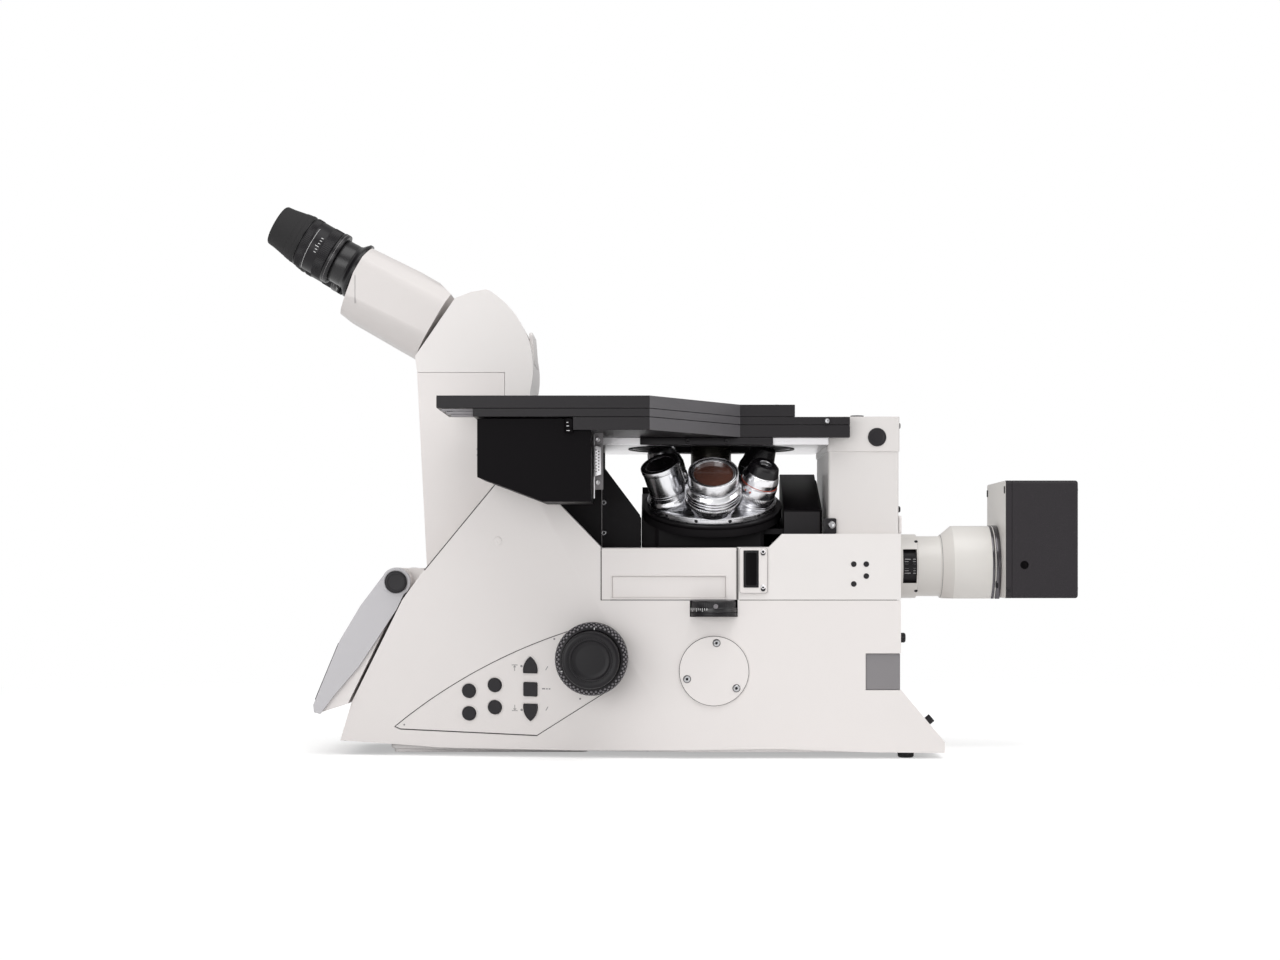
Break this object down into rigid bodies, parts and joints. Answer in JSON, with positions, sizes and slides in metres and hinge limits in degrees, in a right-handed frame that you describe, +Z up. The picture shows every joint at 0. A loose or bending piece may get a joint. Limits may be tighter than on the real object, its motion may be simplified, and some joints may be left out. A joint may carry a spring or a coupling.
{
  "type": "inverted microscope",
  "caption": "Inverted reflected-light microscope: wide stage over an upturned objective turret, binocular tube, tilting display, focus knobs, lamp on the rear.",
  "frame": {"origin": "on the desk, under the middle of the microscope's bounding box", "axes": "+X from the eyepieces to the lamp, +Y away from the side with the control panel, +Z up"},
  "size_m": [0.6653, 0.38, 0.4497],
  "materials": {
    "shell_white": "satin white paint on moulded covers",
    "frame_black": "cast, matte black coat",
    "frame_white": "satin white",
    "base_metal": "satin light grey",
    "rubber_black": "matte",
    "button_black": "matte",
    "knob_black": "matte, ribbed rubber rim",
    "stage_black": "black anodised",
    "carrier_silver": "milled",
    "grey_panel": "matte grey",
    "display_grey": "matte light grey",
    "screen_glass": "gloss",
    "lamp_black": "fine texture, black",
    "lamp_white": "satin white",
    "ring_black": "knurled, black",
    "bulb_glass": "clear",
    "lens_glass": "coated",
    "objective_chrome": "satin chrome",
    "disc_steel": "turned",
    "steel_pin": "ground",
    "motor_black": "black",
    "eyepiece_black": "black anodised",
    "screws_black": "black"
  },
  "bodies": {
    "stand": {"base_plate": "base_metal", "rubber_feet": "rubber_black", "main_frame": "frame_black", "side_cover_near": "shell_white", "side_cover_far": "shell_white", "rear_cover": "shell_white", "neck_housing": "shell_white", "tube_head": "frame_white", "mid_housing": "frame_white", "rear_column": "frame_white", "control_panel": "shell_white", "access_covers": "shell_white", "plugs_and_screws": "screws_black", "rear_panel": "grey_panel", "lamp_flange": "lamp_white", "lamp_tube": "lamp_white", "lamp_front_plate": "lamp_white", "lamp_housing": "lamp_black", "lamp_bulb": "bulb_glass", "relay_lenses": "lens_glass", "stage_carrier": "carrier_silver", "stage_base": "stage_black", "stage_drive_box": "lamp_black", "stage_connector": "grey_panel", "focus_motor": "motor_black", "display_arm": "frame_white", "display_pivot": "button_black"},
    "middle_plate": {"stage_mid_plate": "stage_black"},
    "top_plate": {"stage_top_plate": "stage_black", "stage_insert": "stage_black"},
    "nosepiece": {"nosepiece_carriage": "frame_black", "turret_motor": "motor_black"},
    "objective_turret": {"turret": "disc_steel", "objective_barrels": "objective_chrome", "objective_lenses": "lens_glass"},
    "focus_screw": {"lead_screw": "steel_pin"},
    "coarse_knobs": {"coarse_focus": "knob_black"},
    "fine_knobs": {"fine_focus": "knob_black"},
    "door": {"reflector_door": "shell_white"},
    "filter_turret": {"reflector_turret": "stage_black"},
    "analyser": {"analyser_slider": "stage_black"},
    "analyser_thumb_wheel": {"analyser_wheel": "knob_black"},
    "filter_drawer": {"filter_slider": "knob_black"},
    "aperture_control": {"aperture_ring": "ring_black"},
    "display": {"display_side_plates": "display_grey", "display_housing": "shell_white", "display_screen": "screen_glass"},
    "binocular_near": {"prism_housing_near": "frame_white", "eyepiece_near": "eyepiece_black"},
    "binocular_far": {"prism_housing_far": "frame_white", "eyepiece_far": "eyepiece_black"},
    "dioptre_ring_near": {"dioptre_near": "knob_black"},
    "dioptre_ring_far": {"dioptre_far": "knob_black"},
    "button_upper_left_body": {"button_upper_left": "button_black"},
    "button_upper_right_body": {"button_upper_right": "button_black"},
    "button_lower_left_body": {"button_lower_left": "button_black"},
    "button_lower_right_body": {"button_lower_right": "button_black"},
    "arrow_up_button_body": {"arrow_up_button": "button_black"},
    "set_button_body": {"set_button": "button_black"},
    "arrow_down_button_body": {"arrow_down_button": "button_black"}
  },
  "joints": [
    {"name": "stage_x", "type": "slide", "parent": "stand", "child": "middle_plate", "axis": [1, 0, 0], "range_m": [-0.025, 0.025]},
    {"name": "stage_y", "type": "slide", "parent": "middle_plate", "child": "top_plate", "axis": [0, 1, 0], "range_m": [-0.025, 0.02]},
    {"name": "nosepiece_lift", "type": "slide", "parent": "stand", "child": "nosepiece", "axis": [0, 0, 1], "range_m": [-0.003, 0.008]},
    {"name": "turret_spin", "type": "hinge", "parent": "nosepiece", "child": "objective_turret", "pos_m": [0.034, -0.03383, 0.2095], "axis": [0, -0.342, 0.9397], "continuous": true},
    {"name": "focus_screw_spin", "type": "hinge", "parent": "stand", "child": "focus_screw", "pos_m": [0.034, 0.04, 0.17], "axis": [0, 0, 1], "range_deg": [-540, 1440]},
    {"name": "coarse_focus_spin", "type": "hinge", "parent": "stand", "child": "coarse_knobs", "pos_m": [-0.0625, 0, 0.0806], "axis": [0, 1, 0], "range_deg": [-540, 1440]},
    {"name": "fine_focus_spin", "type": "hinge", "parent": "stand", "child": "fine_knobs", "pos_m": [-0.0625, 0, 0.0806], "axis": [0, 1, 0], "continuous": true},
    {"name": "reflector_door_hinge", "type": "hinge", "parent": "stand", "child": "door", "pos_m": [0, -0.1035, 0.1667], "axis": [-1, 0, 0], "range_deg": [0, 90]},
    {"name": "reflector_turret_spin", "type": "hinge", "parent": "stand", "child": "filter_turret", "pos_m": [0.012, -0.009, 0.145], "axis": [0, 0, 1], "continuous": true},
    {"name": "analyser_slide", "type": "slide", "parent": "stand", "child": "analyser", "axis": [0, -1, 0], "range_m": [0, 0.025]},
    {"name": "analyser_wheel_spin", "type": "hinge", "parent": "analyser", "child": "analyser_thumb_wheel", "pos_m": [0.034, -0.102, 0.1212], "axis": [0, 0, 1], "continuous": true},
    {"name": "filter_slide", "type": "slide", "parent": "stand", "child": "filter_drawer", "axis": [0, -1, 0], "range_m": [0, 0.03]},
    {"name": "aperture_ring_turn", "type": "hinge", "parent": "stand", "child": "aperture_control", "pos_m": [0.1985, 0, 0.1535], "axis": [1, 0, 0], "range_deg": [-14, 14]},
    {"name": "display_tilt", "type": "hinge", "parent": "stand", "child": "display", "pos_m": [-0.2222, 0, 0.1407], "axis": [0, 1, 0], "range_deg": [0, 40]},
    {"name": "eye_distance_near", "type": "hinge", "parent": "stand", "child": "binocular_near", "pos_m": [-0.20433, 0, 0.3339], "axis": [-0.866, 0, 0.5], "range_deg": [-8, 8]},
    {"name": "eye_distance_far", "type": "hinge", "parent": "stand", "child": "binocular_far", "pos_m": [-0.20433, 0, 0.3339], "axis": [-0.866, 0, 0.5], "range_deg": [-8, 8]},
    {"name": "dioptre_near_turn", "type": "hinge", "parent": "binocular_near", "child": "dioptre_ring_near", "pos_m": [-0.29001, -0.032, 0.41569], "axis": [-0.866, 0, 0.5], "range_deg": [-60, 60]},
    {"name": "dioptre_far_turn", "type": "hinge", "parent": "binocular_far", "child": "dioptre_ring_far", "pos_m": [-0.29001, 0.032, 0.41569], "axis": [-0.866, 0, 0.5], "range_deg": [-60, 60]},
    {"name": "button_upper_left_press", "type": "slide", "parent": "stand", "child": "button_upper_left_body", "axis": [0.1543, 0.9838, 0.0909], "range_m": [0, 0.0012], "stiffness_N_per_m": 900},
    {"name": "button_upper_right_press", "type": "slide", "parent": "stand", "child": "button_upper_right_body", "axis": [0.1543, 0.9838, 0.0909], "range_m": [0, 0.0012], "stiffness_N_per_m": 900},
    {"name": "button_lower_left_press", "type": "slide", "parent": "stand", "child": "button_lower_left_body", "axis": [0.1543, 0.9838, 0.0909], "range_m": [0, 0.0012], "stiffness_N_per_m": 900},
    {"name": "button_lower_right_press", "type": "slide", "parent": "stand", "child": "button_lower_right_body", "axis": [0.1543, 0.9838, 0.0909], "range_m": [0, 0.0012], "stiffness_N_per_m": 900},
    {"name": "arrow_up_button_press", "type": "slide", "parent": "stand", "child": "arrow_up_button_body", "axis": [0.1543, 0.9838, 0.0909], "range_m": [0, 0.0012], "stiffness_N_per_m": 900},
    {"name": "set_button_press", "type": "slide", "parent": "stand", "child": "set_button_body", "axis": [0.1543, 0.9838, 0.0909], "range_m": [0, 0.0012], "stiffness_N_per_m": 900},
    {"name": "arrow_down_button_press", "type": "slide", "parent": "stand", "child": "arrow_down_button_body", "axis": [0.1543, 0.9838, 0.0909], "range_m": [0, 0.0012], "stiffness_N_per_m": 900}
  ],
  "couplings": [
    {"joint": "coarse_focus_spin", "follows": "nosepiece_lift", "rad_per_m": 3141.6},
    {"joint": "focus_screw_spin", "follows": "nosepiece_lift", "rad_per_m": 3141.6},
    {"joint": "eye_distance_far", "follows": "eye_distance_near", "ratio": -1}
  ]
}
